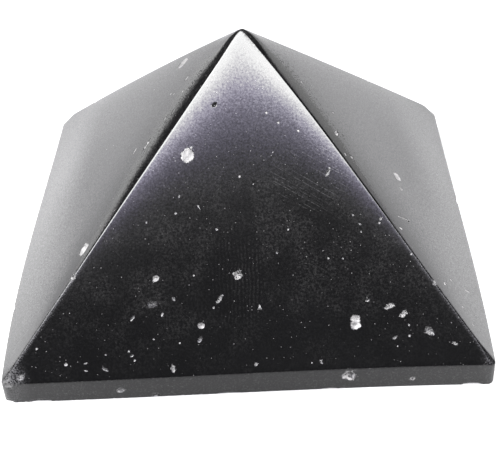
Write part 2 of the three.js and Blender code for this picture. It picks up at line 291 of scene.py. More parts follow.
# Smaller ones, hardly deeper than the polish
SPOTS = (
    (FRONT, -4.83, 3.72, 0.7, 0.4, 0.05, 60, "cloud", 0.3),
    (FRONT, -3.4, 6.85, 0.22, 0.2, 0.06, 0, "blot", 0.5),
    (FRONT, -11.7, 6.15, 0.7, 0.22, 0.05, 50, "crust", 0.4),
    (FRONT, -9.65, 7.45, 1.0, 0.8, 0.02, 20, "cloud", 0.22),
    (FRONT, -8.65, 6.4, 0.45, 0.18, 0.06, 60, "blot", 0.6),
    (FRONT, -7.45, 7.95, 0.45, 0.3, 0.06, 120, "arc", 0.45),
    (FRONT, 12.3, 6.95, 0.45, 0.35, 0.06, 190, "arc", 0.8),
    (FRONT, 21.1, 2.3, 0.5, 0.3, 0.05, 150, "crust", 0.45),
    (FRONT, 16.5, 3.2, 0.2, 0.2, 0.06, 0, "blot", 0.8),
    (FRONT, 16.5, 4.3, 0.18, 0.18, 0.06, 0, "blot", 0.6),
    (FRONT, 15.0, 3.05, 0.45, 0.28, 0.05, 30, "crust", 0.25),
    (FRONT, 0.87, 0.95, 0.4, 0.3, 0.06, 60, "crust", 0.5),
    (FRONT, 7.5, 0.9, 0.5, 0.2, 0.06, 95, "crust", 0.5),
    (FRONT, 13.85, 15.2, 0.3, 0.22, 0.06, 40, "crust", 0.8),
    (FRONT, 13.7, 14.75, 0.2, 0.2, 0.06, 0, "blot", 0.7),
    (FRONT, 11.8, 13.9, 0.14, 0.14, 0.04, 0, "blot", 0.5),
    (FRONT, 11.0, 15.65, 0.14, 0.14, 0.04, 0, "blot", 0.5),
    (FRONT, 11.7, 14.7, 0.2, 0.14, 0.04, 0, "blot", 0.4),
    (FRONT, 16.9, 12.75, 0.16, 0.14, 0.04, 50, "blot", 0.6),
    (FRONT, 16.9, 11.5, 0.25, 0.16, 0.05, 50, "blot", 0.7),
    (FRONT, 8.4, 11.35, 0.18, 0.16, 0.04, 0, "blot", 0.6),
    (FRONT, 9.9, 11.25, 0.16, 0.14, 0.04, 0, "blot", 0.5),
    (FRONT, 8.5, 20.1, 0.8, 0.26, 0.07, 60, "crust", 0.33),
    (FRONT, -0.6, 20.1, 0.2, 0.18, 0.05, 0, "blot", 0.8),
    (FRONT, 0.8, 19.25, 0.13, 0.13, 0.02, 0, "blot", 0.6),
    (FRONT, 4.35, 14.45, 0.16, 0.16, 0.05, 0, "blot", 0.7),
    (FRONT, 3.15, 12.15, 0.28, 0.2, 0.04, 100, "cloud", 0.4),
    (FRONT, 2.3, 26.6, 0.2, 0.18, 0.04, 0, "blot", 0.9),
    (FRONT, 3.5, 25.5, 0.2, 0.16, 0.04, 0, "blot", 0.8),
    (FRONT, 5.55, 24.55, 0.2, 0.16, 0.04, 0, "blot", 0.8),
    (FRONT, -6.85, 18.4, 0.3, 0.16, 0.04, 80, "blot", 0.35),
    (FRONT, -4.9, 17.3, 0.16, 0.16, 0.04, 0, "blot", 0.5),
    (FRONT, -7.2, 16.65, 0.22, 0.18, 0.04, 0, "blot", 0.45),
    (FRONT, -10.25, 15.85, 0.16, 0.16, 0.04, 0, "blot", 0.6),
    (FRONT, -3.0, 14.8, 0.3, 0.18, 0.04, 140, "blot", 0.35),
    (FRONT, -5.4, 10.2, 0.16, 0.16, 0.04, 0, "blot", 0.7),
    (FRONT, 1.3, 6.85, 0.14, 0.14, 0.04, 0, "blot", 0.5),
    (FRONT, -18.5, 1.8, 0.36, 0.28, 0.06, 10, "blot", 0.5),
    (FRONT, -16.5, 1.85, 0.36, 0.12, 0.04, 15, "blot", 0.4),
    (FRONT, -16.5, 1.1, 0.36, 0.12, 0.04, 165, "blot", 0.4),
    (FRONT, -14.45, 2.6, 0.2, 0.16, 0.03, 0, "blot", 0.25),
    (FRONT, -12.1, 2.85, 0.18, 0.18, 0.05, 0, "blot", 0.8),
    (FRONT, -11.8, 2.4, 0.36, 0.28, 0.05, 200, "arc", 0.6),
    (FRONT, -11.5, 1.9, 0.2, 0.18, 0.05, 0, "blot", 0.75),
    (FRONT, -9.55, 3.95, 0.2, 0.16, 0.04, 0, "blot", 0.5),
    (FRONT, -6.9, 3.45, 0.18, 0.16, 0.04, 0, "blot", 0.6),
    (FRONT, -21.5, 3.5, 0.25, 0.2, 0.05, 0, "blot", 0.5),
    (FRONT, -14.5, 1.15, 0.8, 0.3, 0.04, 150, "cloud", 0.25),
    (FRONT, -23.1, 0.75, 0.9, 0.7, 0.05, 30, "cloud", 0.5),
    (LEFT, 0.2, 27.6, 0.6, 0.28, 0.05, 110, "blot", 0.5),
    (LEFT, 6.4, 21.6, 1.9, 0.26, 0.05, 133, "crust", 0.7),
    (LEFT, 5.4, 19.65, 0.8, 0.24, 0.05, 133, "blot", 0.5),
    (LEFT, 0.4, 25.1, 0.25, 0.22, 0.05, 0, "blot", 0.6),
    (LEFT, 2.2, 27.1, 0.25, 0.22, 0.05, 0, "blot", 0.6),
    (LEFT, 1.05, 25.65, 0.3, 0.2, 0.05, 120, "blot", 0.5),
    (LEFT, 4.5, 24.4, 0.35, 0.2, 0.05, 130, "blot", 0.45),
    (LEFT, -4.7, 21.75, 0.25, 0.2, 0.05, 0, "blot", 0.45),
    (RIGHT, -2.0, 27.6, 0.4, 0.3, 0.06, 0, "blot", 0.6),
    (RIGHT, -9.3, 21.4, 0.35, 0.3, 0.06, 0, "blot", 0.7),
    (RIGHT, -8.95, 20.5, 0.35, 0.3, 0.06, 0, "blot", 0.6),
    (RIGHT, -6.3, 12.2, 0.5, 0.6, 0.05, 60, "blot", 0.55),
    (RIGHT, -12.15, 12.8, 2.4, 0.16, 0.05, 118, "blot", 0.5),
    (RIGHT, -11.8, 11.9, 0.35, 0.3, 0.1, 0, "bare", 0.0),
    (RIGHT, -2.9, 22.9, 0.3, 0.22, 0.05, 0, "blot", 0.5),
    (RIGHT, -14.4, 13.35, 0.5, 0.22, 0.06, 100, "blot", 0.9),
    (RIGHT, -17.7, 6.85, 0.4, 0.25, 0.06, 0, "blot", 0.8),
    (RIGHT, -16.05, 5.55, 0.35, 0.25, 0.06, 0, "blot", 0.7),
    (RIGHT, -15.4, 2.7, 1.0, 0.2, 0.06, 110, "blot", 0.8),
    (RIGHT, -19.2, 4.2, 0.3, 0.22, 0.06, 0, "blot", 0.7),
    (RIGHT, -19.0, 2.15, 0.3, 0.22, 0.06, 0, "blot", 0.7),
    (RIGHT, -20.85, 2.85, 0.3, 0.25, 0.06, 0, "blot", 0.7),
)

# Chips along the girdle, its shoulder and its lower rim.
# side, across, height over the table, length, tall, depth, strength of the mineral
CHIPS = (
    (FRONT, -24.9, 0.1, 1.7, 1.0, 0.38, 0.3),
    (FRONT, -21.4, 0.05, 2.6, 0.9, 0.22, 0.0),
    (FRONT, -24.6, 2.6, 1.4, 1.0, 0.22, 0.2),
    (FRONT, -13.1, 1.2, 0.9, 0.7, 0.2, 0.6),
    (FRONT, -9.6, 0.3, 1.0, 0.6, 0.25, 0.2),
    (FRONT, -2.2, 0.0, 2.4, 0.5, 0.2, 0.0),
    (FRONT, 8.3, 0.0, 2.0, 0.5, 0.2, 0.0),
    (FRONT, 10.3, 1.8, 1.5, 1.2, 0.3, 1.0),
    (FRONT, 16.8, 1.1, 0.6, 0.5, 0.14, 0.9),
    (FRONT, 22.9, 0.0, 2.4, 0.7, 0.3, 0.1),
    (RIGHT, -14.0, 0.1, 1.8, 0.7, 0.25, 0.0),
    (RIGHT, 3.6, 2.7, 1.5, 0.8, 0.25, 0.1),
    (RIGHT, 19.5, 0.1, 2.6, 1.1, 0.4, 0.1),
    (BACK, -15.2, 0.0, 2.0, 0.8, 0.3, 0.0),
    (BACK, -3.9, 1.4, 1.3, 1.0, 0.3, 0.7),
    (BACK, 12.7, 2.8, 1.6, 0.8, 0.25, 0.1),
    (LEFT, -17.5, 0.1, 2.4, 1.0, 0.35, 0.1),
    (LEFT, -2.6, 0.0, 1.9, 0.7, 0.25, 0.0),
    (LEFT, 13.4, 2.7, 1.3, 0.7, 0.22, 0.1),
)

# Fine chips along the lower rim, made at random: how many on each side, and the ranges of
# their length, height and depth
RIM_CHIPS = 26
RIM_CHIP_LENGTH = (0.25, 0.8)
RIM_CHIP_TALL = (0.16, 0.4)
RIM_CHIP_DEPTH = (0.05, 0.12)
RIM_SEED = 12

# Nicks in the sloping edges: the corner below, the distance up from it, length and depth,
# and the strength of their mineral
NICK_PALE = 0.5
NICKS = (
    (0, 13.1, 0.7, 0.14),
    (1, 10.3, 0.6, 0.14),
    (2, 17.5, 1.0, 0.25),
    (3, 9.4, 1.2, 0.25),
)

# Refining: the longest edges in pits, spots and chips, how far round them, as a factor of
# their half length and in millimetres, and the most rounds
PIT_EDGE = 0.08
SPOT_EDGE = 0.064
CHIP_EDGE = 0.105
REFINE_MARGIN = 1.08
REFINE_EXTRA = 0.07
REFINE_ROUNDS = 6

# Carving: how far a lumpy form's middle stands out, as a share of its depth, from how far out
# its points are pushed in, in half lengths, and how lumpy its wall is
LIFT = 0.25
EYE_DISTANCE = 1.6
CARVE_ROUNDS = 3
LUMPS = 0.2
LUMP_SIZE = 1.3
SEED_STEP = 7.31
TINY = 1e-9

# How far within the solid's box the mesh stays on each axis, in millimetres
BOX_MARGIN = 0.004

# Pale mineral by kind of place: how ragged its outline is, broadly and finely, where on the
# way to the rim it fades, and the noise over which it breaks up
KINDS = {
    "ring": ((0.3, 0.0), (0.8, 1.0), (-0.9, -0.4)),
    "bloom": ((0.2, 0.3), (1.0, 1.08), None),
    "crust": ((0.8, 0.3), (0.8, 1.0), (-0.3, 0.0)),
    "blot": ((0.3, 0.2), (0.75, 1.1), None),
    "cloud": ((0.4, 0.8), (0.2, 1.0), (-0.4, 0.3)),
    "arc": ((0.3, 0.0), (0.85, 1.0), None),
    "chip": ((0.5, 0.3), (0.8, 1.0), (-0.25, 0.05)),
}
RING_MIDDLE = 0.6
RING_BAND = (0.15, 0.4)
ARC_BAND = (0.4, 0.6)
ARC_TURN = (-0.2, 0.2)

# How strong the mineral is on each side
SIDE_PALE = (0.72, 0.85, 0.9, 0.75)

# The mineral's reach along and through the surface, in half sizes, and its noises' waves
MINERAL_REACH = 1.6
MINERAL_LAYER = 2.0
OUTLINE_WAVES = (1.6, 5.5)
BREAK_WAVES = (3.4, 7.5)
FINE_SHARE = 0.5
SEED_TURN = 0.37

# How broken the surface is in chips and in pits
BROKEN = 1.0
BROKEN_IN_PITS = 0.3

# Where the satin girdle ends: the upward part of the normal, and the height over the shoulder
SATIN_STEEP = (0.5, 0.62)
SATIN_TOP = (0.4, 1.2)

# Frost on each corner and wear along each sloping edge: its reach from the corner, its
# strength, and the share of the reach where it starts to fade
CORNER_FROST = ((3.2, 1.0), (1.8, 0.5), (2.0, 0.5), (2.2, 0.6))
FROST_CORE = 0.4
FROST_FLATNESS = 0.5
ARRIS_WEAR = ((17.0, 0.7), (20.0, 0.45), (8.0, 0.5), (8.0, 0.5))
WEAR_CORE = 0.7
WEAR_BAND = (0.15, 0.4)


def turned(i, degrees):
    """Directions on a side: along it turned by the degrees, and square to that."""
    angle = math.radians(degrees)
    up_slope = np.cross(NORMAL[i], ALONG[i])
    long = ALONG[i] * math.cos(angle) + up_slope * math.sin(angle)
    return long, np.cross(NORMAL[i], long)


# A place on the stone: a lumpy round form with half sizes along the three rows of its basis
Place = namedtuple("Place", "side middle basis halves fineness kind pale surface")


def rim_chips():
    """Rows like those of the chips, for the fine chips along the lower rim."""
    dice = random.Random(RIM_SEED)
    rows = []
    for side in range(4):
        for _ in range(RIM_CHIPS):
            across = dice.uniform(-BASE / 2, BASE / 2)
            length = dice.uniform(*RIM_CHIP_LENGTH)
            tall = dice.uniform(*RIM_CHIP_TALL)
            depth = dice.uniform(*RIM_CHIP_DEPTH)
            rows.append((side, across, 0.0, length, tall, depth, 0.0))
    return tuple(rows)


def features():
    """Every pit, spot, chip and nick, in the order in which they are carved."""
    found = []
    for rows, fineness in ((PITS, PIT_EDGE), (SPOTS, SPOT_EDGE)):
        for side, across, up, length, width, depth, turn, kind, pale in rows:
            long, short = turned(side, turn)
            surface = on_slope(side, across, up)
            middle = surface + NORMAL[side] * depth * LIFT
            halves = np.array((length / 2, width / 2, depth * (1 + LIFT)))
            basis = np.array((long, short, NORMAL[side]))
            found.append(Place(side, middle, basis, halves, fineness, kind, pale, surface))
    for side, across, height, length, tall, depth, pale in CHIPS + rim_chips():
        surface = on_girdle(side, across, height)
        middle = surface + OUT[side] * depth * LIFT
        halves = np.array((length / 2, tall / 2, depth * (1 + LIFT)))
        basis = np.array((ALONG[side], UP, OUT[side]))
        found.append(Place(side, middle, basis, halves, CHIP_EDGE, "chip", pale, surface))
    for corner, up, length, depth in NICKS:
        out = arris_normal(corner)
        down = unit(SHOULDERS[corner] - TIP)
        surface = on_arris(corner, 1.0 - up / np.linalg.norm(SHOULDERS[corner] - TIP))
        basis = np.array((down, np.cross(out, down), out))
        halves = np.array((length / 2, length / 3, depth))
        found.append(
            Place(corner, surface, basis, halves, SPOT_EDGE, "chip", NICK_PALE, surface))
    return found


def refine(mesh, places):
    """Split the edges near each place until they are as short as it asks."""
    centres = np.array([p.surface for p in places]) * MM
    sizes = np.array([p.halves.max() * REFINE_MARGIN + REFINE_EXTRA for p in places]) * MM
    limits = np.array([p.fineness for p in places]) * MM
    for _ in range(REFINE_ROUNDS):
        mesh.verts.index_update()
        points = np.array([v.co for v in mesh.verts])
        ends = np.array([(e.verts[0].index, e.verts[1].index) for e in mesh.edges])
        first, last = points[ends[:, 0]], points[ends[:, 1]]
        lengths = np.linalg.norm(last - first, axis=1)
        middles = (first + last) / 2
        chosen = np.zeros(len(ends), bool)
        for centre, size, limit in zip(centres, sizes, limits):
            near = np.linalg.norm(middles - centre, axis=1) < size + lengths / 2
            chosen |= near & (lengths > limit)
        edges = [edge for edge, take in zip(mesh.edges, chosen) if take]
        if not edges:
            break
        bmesh.ops.subdivide_edges(mesh, edges=edges, cuts=1, use_grid_fill=True)
    wide = [f for f in mesh.faces if len(f.verts) > 4]
    bmesh.ops.triangulate(mesh, faces=wide)


def lumpiness(directions, seed):
    """How far a lumpy form's wall stands from its middle, in each direction."""
    return np.array([
        1.0 + LUMPS * noise.noise(Vector(d) * LUMP_SIZE + Vector((seed, 0.0, 0.0)))
        for d in directions
    ])


def carve(points, normals, place, seed):
    """Push the points inside a lumpy form in to its wall, and say which they are."""
    local = (points - place.middle) @ place.basis.T / place.halves
    reach = np.linalg.norm(local, axis=1)
    near = np.flatnonzero(reach < 1.0 + LUMPS)
    radii = lumpiness(local[near] / np.maximum(reach[near], TINY)[:, None], seed)
    inside = near[reach[near] < radii]
    if not len(inside):
        return inside
    outward = unit(normals[inside].sum(axis=0))
    size = place.halves.max() * EYE_DISTANCE
    eye = points[inside].mean(axis=0) + outward * size
    start = local[inside]
    ray = unit_rows(points[inside] - eye) @ place.basis.T / place.halves
    wall = np.ones(len(inside))
    for _ in range(CARVE_ROUNDS):
        a = (ray * ray).sum(axis=1)
        b = (start * ray).sum(axis=1)
        c = (start * start).sum(axis=1) - wall * wall
        travel = (-b + np.sqrt(np.maximum(b * b - a * c, 0.0))) / a
        end = start + ray * travel[:, None]
        wall = lumpiness(unit_rows(end), seed)
    points[inside] = place.middle + (end * place.halves) @ place.basis
    return inside


def unit_rows(rows):
    return rows / np.maximum(np.linalg.norm(rows, axis=1), TINY)[:, None]


def mineral(place, points, seed):
    """How much pale mineral or residue lies at each point of a place, before it is carved."""
    amount = np.zeros(len(points))
    if place.kind == "bare":
        return amount
    ragged = KINDS[place.kind][0]
    local = (points - place.surface) @ place.basis.T / place.halves
    reach = np.hypot(local[:, 0], local[:, 1])
    near = np.flatnonzero((reach < MINERAL_REACH) & (np.abs(local[:, 2]) < MINERAL_LAYER))
    shift = Vector((seed, seed * SEED_TURN, 0.0))
    pitch = 1.0 / max(place.halves[:2])
    for k in near:
        where = Vector(points[k]) * pitch
        wobble = noise.noise(where * OUTLINE_WAVES[0] + shift) * ragged[0]
        wobble += noise.noise(where * OUTLINE_WAVES[1] + shift) * ragged[1]
        speck = noise.noise(where * BREAK_WAVES[0] + shift)
        speck += FINE_SHARE * noise.noise(where * BREAK_WAVES[1] - shift)
        angle = math.atan2(local[k, 1], local[k, 0])
        amount[k] = mineral_at(place.kind, reach[k] * (1.0 + wobble), angle, speck)
    return amount * place.pale * SIDE_PALE[place.side]


def mineral_at(kind, far, angle, speck):
    """Pale mineral at a distance (1 at the rim) and angle within a place of the kind."""
    _, fade, breaks = KINDS[kind]
    amount = 1.0 - smooth(*fade, far)
    if breaks:
        amount *= smooth(*breaks, speck)
    if kind == "ring":
        amount *= RING_MIDDLE + (1.0 - RING_MIDDLE) * smooth(*RING_BAND, far)
    if kind == "arc":
        amount *= smooth(*ARC_BAND, far) * smooth(*ARC_TURN, math.sin(angle))
    return amount


def satin_at(points, normals):
    """How much each point belongs to the ground girdle or underside."""
    level = np.array([p[2] for p in SHOULDERS]).mean()
    steep = 1.0 - smooth(*SATIN_STEEP, normals[:, 2])
    return steep * (1.0 - smooth(level + SATIN_TOP[0], level + SATIN_TOP[1], points[:, 2]))


def frost_at(points):
    """How frosted or worn each point is, at the corners and along the sloping edges."""
    frost = np.zeros(len(points))
    for corner, (reach, strength) in zip(SHOULDERS, CORNER_FROST):
        away = np.linalg.norm((points - corner) * (1.0, 1.0, FROST_FLATNESS), axis=1)
        frost = np.maximum(frost, strength * (1.0 - smooth(reach * FROST_CORE, reach, away)))
    for corner, (reach, strength) in zip(SHOULDERS, ARRIS_WEAR):
        beside = np.abs((points - corner) @ unit(np.cross(UP, corner - TIP)))
        away = np.linalg.norm(points - corner, axis=1)
        along = 1.0 - smooth(reach * WEAR_CORE, reach, away)
        frost = np.maximum(frost, strength * along * (1.0 - smooth(*WEAR_BAND, beside)))
    return frost


def blank_mesh():
    """The ground and polished blank as quads, with a fan at the tip and under the middle."""
    rows = blank_loops()
    count = len(rows[0])
    mesh = bmesh.new()
    rings = [[mesh.verts.new(p * MM) for p in row] for row in rows]
    tip = mesh.verts.new(TIP * MM)
    foot = mesh.verts.new(rows[-1].mean(axis=0) * MM)
    for k in range(count):
        n = (k + 1) % count
        mesh.faces.new((tip, rings[0][k], rings[0][n]))
        for upper, lower in zip(rings, rings[1:]):
            mesh.faces.new((upper[k], lower[k], lower[n], upper[n]))
        mesh.faces.new((foot, rings[-1][n], rings[-1][k]))
    return mesh


def blank_centre():
    """Middle of the blank's box, which stands over the origin, and its share of the box."""
    points = np.vstack(blank_loops())
    low, high = points.min(axis=0), points.max(axis=0)
    room = np.array(HIGH - LOW)[:2] / MM - BOX_MARGIN
    return np.append((low + high)[:2] / 2, 0.0), float(min(1.0, *(room / (high - low)[:2])))


def pyramid_mesh(name):
    """The finished stone as a mesh in metres, with its finishes as point attributes."""
    places = features()
    built = blank_mesh()
    refine(built, places)
    data = bpy.data.meshes.new(name)
    built.normal_update()
    built.to_mesh(data)
    built.free()

    points = np.empty(len(data.vertices) * 3)
    normals = np.empty(len(data.vertices) * 3)
    data.vertices.foreach_get("co", points)
    data.vertices.foreach_get("normal", normals)
    points = points.reshape(-1, 3) / MM
    normals = normals.reshape(-1, 3)

    satin = satin_at(points, normals)
    frost = frost_at(points)
    pale = np.zeros(len(points))
    broken = np.zeros(len(points))
    for seed, place in enumerate(places):
        pale = np.maximum(pale, mineral(place, points, seed * SEED_STEP))
    for seed, place in enumerate(places):
        inside = carve(points, normals, place, seed * SEED_STEP)
        broken[inside] = BROKEN if place.kind == "chip" else BROKEN_IN_PITS

    centre, share = blank_centre()
    points = (points - centre) * np.array((share, share, 1.0)) * MM
    points[:, 2] = np.minimum(points[:, 2], HIGH.z)
    data.vertices.foreach_set("co", points.ravel())
    for label, values in zip(FINISHES, (pale, broken, satin, frost)):
        layer = data.attributes.new(label, "FLOAT", "POINT")
        layer.data.foreach_set("value", values)
    data.shade_smooth()
    data.update()
    return data


# Finishes that the mesh carries to the material, as point attributes
FINISHES = ("pale", "broken", "satin", "frost")

# Noises of the stone: waves in a millimetre, detail and roughness
NOISES = {
    "fine": (14.0, 3.0, 0.6), "middle": (2.2, 3.0, 0.55), "grain": (7.0, 4.0, 0.7),
    "polish": (0.12, 2.0, 0.5), "dust": (4.2, 3.0, 0.75), "clouds": (0.3, 2.0, 0.5),
    "wear": (5.0, 3.0, 0.8), "waves": (0.35, 2.0, 0.5), "ripples": (1.3, 2.0, 0.6),
    "dots": (3.0, 2.0, 0.5), "stir": (0.6, 2.0, 0.5), "streaks": (1.0, 2.0, 0.6),
}

# Ranges: the two values of its noise between which a finish changes, and from what to what
DUST = (0.4, 0.7)
CLOUDS = (0.35, 0.7, 0.25, 1.0)
WEAR = (0.5, 0.72)
DAMAGE = (0.35, 0.7, 0.35, 1.0)
FROSTING = (0.45, 0.62)
MINERAL_SHADE = (0.35, 0.65)
MINERAL_COVER = (0.25, 0.5, 0.6, 1.0)
POLISH_CHANGE = (0.35, 0.65)
POLISH_FACTORS = (0.75, 1.3)

# Roughness of the ground, broken and frosted stone in the same way, and of the mineral
GROUND_ROUGH = (0.3, 0.7, 0.4, 0.58)
BROKEN_ROUGH = (0.3, 0.7, 0.16, 0.4)
FROST_ROUGH = (0.35, 0.6, 0.2, 0.5)
MINERAL_ROUGH = 0.8

# Strength of the haze, in it of faint specks and scratches, of bright specks and of wear
HAZE = 0.025
FAINT_HAZE = 13.0
SCRATCH_HAZE = 1.6
BRIGHT_MINERAL = 0.38
GIRDLE_WEAR = 0.06

# Specks: cells in a millimetre, smallest and largest size, and share of the cells
FAINT_SPECKS = (2.8, 0.06, 0.17, 0.6)
BRIGHT_SPECKS = (0.9, 0.02, 0.08, 0.6)
SPECK_STEP = 0.02
SPECK_EDGE = 0.5

# Fine relief in millimetres: of the ground, broken and crusted stone and of the scratches
GROUND_RELIEF = 0.006
BROKEN_RELIEF = 0.05
MINERAL_RELIEF = 0.05
SCRATCH_RELIEF = -0.0006

# Grain of the polish, and how much stronger it is away from the front
GRAIN_WAVES = 5.5
GRAIN_DETAIL = 1.0
GRAIN_MEAN = (0.5, 0.5, 0.5)
SIDE_GRAIN = 2.3

# Scratches on the front, their threshold, and the middle and half sizes of their patch
SCRATCH_ANGLE = -32.0
SCRATCH_LENGTH = 12.0
SCRATCH_SPACING = 0.1
SCRATCH_FROM = 0.58
SCRATCH_STEP = 0.05
SCRATCH_DOTS = (0.42, 0.58, 0.15, 1.2)
SCRATCH_PATCH = ((7.2, 19.8), (5.5, 4.5))

# Stripes in the haze on the front, and how much haze they and the foot of the side leave
STRIPE_SPACING = 0.38
STRIPE_STIR = 9.0
STRIPE_LEAVES = (-1.0, 1.0, 0.0, 0.8)
STRIPE_PATCH = ((-0.8, 9.6), (4.2, 6.4))
FOOT_LEAVES = (1.5, 9.0, 0.3, 1.0)
PATCH_CORE = 0.55
FRONT_LAYER = (1.2, 1.6)

IOR = 1.5


class Nodes:
    """A node tree being built: add and vector return the node, the others its first output."""

    def __init__(self, tree):
        self.tree = tree
        tree.nodes.clear()

    def add(self, kind, *inputs, named=None, **options):
        node = self.tree.nodes.new(kind)
        for key, value in options.items():
            setattr(node, key, value)
        for key, value in list(enumerate(inputs)) + list((named or {}).items()):
            if isinstance(value, bpy.types.NodeSocket):
                self.tree.links.new(value, node.inputs[key])
            else:
                node.inputs[key].default_value = value
        return node

    def math(self, operation, *inputs, clamp=False):
        return self.add("ShaderNodeMath", *inputs, operation=operation, use_clamp=clamp).outputs[0]

    def times(self, first, *others):
        for other in others:
            first = self.math("MULTIPLY", first, other)
        return first

    def plus(self, first, *others):
        for other in others:
            first = self.math("ADD", first, other)
        return first

    def vector(self, operation, *inputs):
        return self.add("ShaderNodeVectorMath", *inputs, operation=operation)

    def scaled(self, vector, factor):
        named = {"Vector": vector, "Scale": factor}
        return self.add("ShaderNodeVectorMath", named=named, operation="SCALE").outputs[0]

    def range(self, value, low, high, first=0.0, last=1.0, curve="SMOOTHSTEP"):
        values = (value, low, high, first, last)
        return self.add("ShaderNodeMapRange", *values, interpolation_type=curve).outputs[0]

    def attribute(self, name):
        return self.add("ShaderNodeAttribute", attribute_name=name).outputs["Fac"]

    def noise(self, place, name):
        scale, detail, rough = NOISES[name]
        named = {"Vector": place, "Scale": scale, "Detail": detail, "Roughness": rough}
        return self.add("ShaderNodeTexNoise", named=named).outputs["Fac"]

    def mix(self, share, first, last):
        named = {0: share, 6: first, 7: last}
        return self.add("ShaderNodeMix", named=named, data_type="RGBA").outputs[2]

    def blend(self, share, first, last):
        named = {0: share, 2: first, 3: last}
        return self.add("ShaderNodeMix", named=named, data_type="FLOAT").outputs[0]


def rgba(colour):
    return (*colour, 1.0)


def new_material(name):
    """A new material of the name, and its empty node tree."""
    material = bpy.data.materials.new(name)
    material.use_nodes = True
    return material, Nodes(material.node_tree)


def specks(nodes, place, scale, smallest, largest, share):
    """Small round specks, each of its own size, in a share of the cells."""
    cells = nodes.add("ShaderNodeTexVoronoi", named={"Vector": place, "Scale": scale})
    size, chance, strength = nodes.add("ShaderNodeSeparateColor", cells.outputs["Color"]).outputs
    size = nodes.range(size, 0.0, 1.0, smallest, largest)
    shown = nodes.range(chance, share, share + SPECK_STEP, 1.0, 0.0)
    near = nodes.math("SUBTRACT", 1.0, nodes.math("DIVIDE", cells.outputs["Distance"], size))
    return nodes.times(nodes.range(near, 0.0, SPECK_EDGE), shown, strength)


def streaks(nodes, across, up):
    """Fine broken lines at the scratches' angle on a side."""
    turn = math.radians(SCRATCH_ANGLE)
    long, fine = SCRATCH_LENGTH, SCRATCH_SPACING
    along = nodes.times(up, math.sin(turn) / long)
    along = nodes.math("MULTIPLY_ADD", across, math.cos(turn) / long, along)
    beside = nodes.times(up, math.cos(turn) / fine)
    beside = nodes.math("MULTIPLY_ADD", across, -math.sin(turn) / fine, beside)
    flat = nodes.add("ShaderNodeCombineXYZ", along, beside, SCRATCH_ANGLE).outputs[0]
    return nodes.range(nodes.noise(flat, "streaks"), SCRATCH_FROM, SCRATCH_FROM + SCRATCH_STEP)


def patch(nodes, across, up, middle, halves):
    """Soft-edged oval on a side, 1 in its middle."""
    a = nodes.math("DIVIDE", nodes.math("SUBTRACT", across, middle[0]), halves[0])
    b = nodes.math("DIVIDE", nodes.math("SUBTRACT", up, middle[1]), halves[1])
    far = nodes.math("SQRT", nodes.math("MULTIPLY_ADD", a, a, nodes.times(b, b)))
    return nodes.range(far, PATCH_CORE, 1.0, 1.0, 0.0)


def scratches_and_stripes(nodes, place):
    """Scratches, the share of the haze left by darker stripes in a patch on the front and thinner
    towards the front's foot, and where the front side is.
    """
    centre, _ = blank_centre()
    foot = on_slope(FRONT, 0.0, 0.0) - centre
    axes = (ALONG[FRONT], np.cross(NORMAL[FRONT], ALONG[FRONT]), NORMAL[FRONT])
    ways = []
    for axis in axes:
        way = nodes.vector("DOT_PRODUCT", place, tuple(axis)).outputs["Value"]
        ways.append(nodes.math("SUBTRACT", way, float(foot @ axis)))
    across, up, off = ways
    on_front = nodes.range(nodes.math("ABSOLUTE", off), *FRONT_LAYER, 1.0, 0.0)

    dotted = nodes.range(nodes.noise(place, "dots"), *SCRATCH_DOTS)
    scratched = nodes.times(streaks(nodes, across, up), dotted)
    scratched = nodes.times(scratched, patch(nodes, across, up, *SCRATCH_PATCH), on_front)

    # Darker stripes where the haze thins in lines in a patch on the front, and less haze towards
    # the foot of the front
    stirred = nodes.times(nodes.noise(place, "stir"), STRIPE_STIR)
    turns = nodes.math("MULTIPLY_ADD", across, 2.0 * math.pi / STRIPE_SPACING, stirred)
    striped = nodes.range(nodes.math("SINE", turns), *STRIPE_LEAVES)
    blotch = nodes.times(patch(nodes, across, up, *STRIPE_PATCH), on_front)
    above = nodes.blend(on_front, 1.0, nodes.range(up, *FOOT_LEAVES))
    return scratched, nodes.times(nodes.blend(blotch, 1.0, striped), above), on_front


def stone_colour(nodes, look, place, marks, noises, covers):
    """Colour of the stone, from the glass up to the pale mineral."""
    _, middle, grain = noises
    crust, broken, satin, frosted = covers
    lines, left = marks
    clouds = nodes.range(nodes.noise(place, "clouds"), *CLOUDS)
    haze = nodes.times(clouds, nodes.range(nodes.noise(place, "dust"), *DUST), left)
    haze = nodes.plus(
        haze,
        nodes.times(specks(nodes, place, *FAINT_SPECKS), FAINT_HAZE),
        nodes.times(lines, SCRATCH_HAZE),
    )
    polished = nodes.mix(nodes.times(haze, HAZE), rgba(look.glass), rgba(look.mineral))
    worn = nodes.times(nodes.range(nodes.noise(place, "wear"), *WEAR), GIRDLE_WEAR)
    ground = nodes.mix(satin, polished, nodes.mix(worn, rgba(look.girdle), rgba(look.mineral)))
    damage = nodes.times(broken, nodes.range(middle, *DAMAGE))
    frosting = nodes.times(frosted, nodes.range(grain, *FROSTING))
    chipped = nodes.mix(nodes.math("MAXIMUM", damage, frosting), ground, rgba(look.chip))
    shade = nodes.range(middle, *MINERAL_SHADE)
    return nodes.mix(crust, chipped, nodes.mix(shade, rgba(look.mineral), rgba(look.mineral_dark)))


def stone_roughness(nodes, look, place, noises, covers):
    """Roughness of the stone, from the polish to the dull mineral."""
    _, middle, grain = noises
    crust, broken, satin, frosted = covers
    factors = [look.polish * factor for factor in POLISH_FACTORS]
    rough = nodes.range(nodes.noise(place, "polish"), *POLISH_CHANGE, *factors)
    rough = nodes.blend(satin, rough, nodes.range(grain, *GROUND_ROUGH))
    rough = nodes.blend(broken, rough, nodes.range(middle, *BROKEN_ROUGH))
    rough = nodes.blend(frosted, rough, nodes.range(grain, *FROST_ROUGH))
    return nodes.blend(crust, rough, MINERAL_ROUGH)


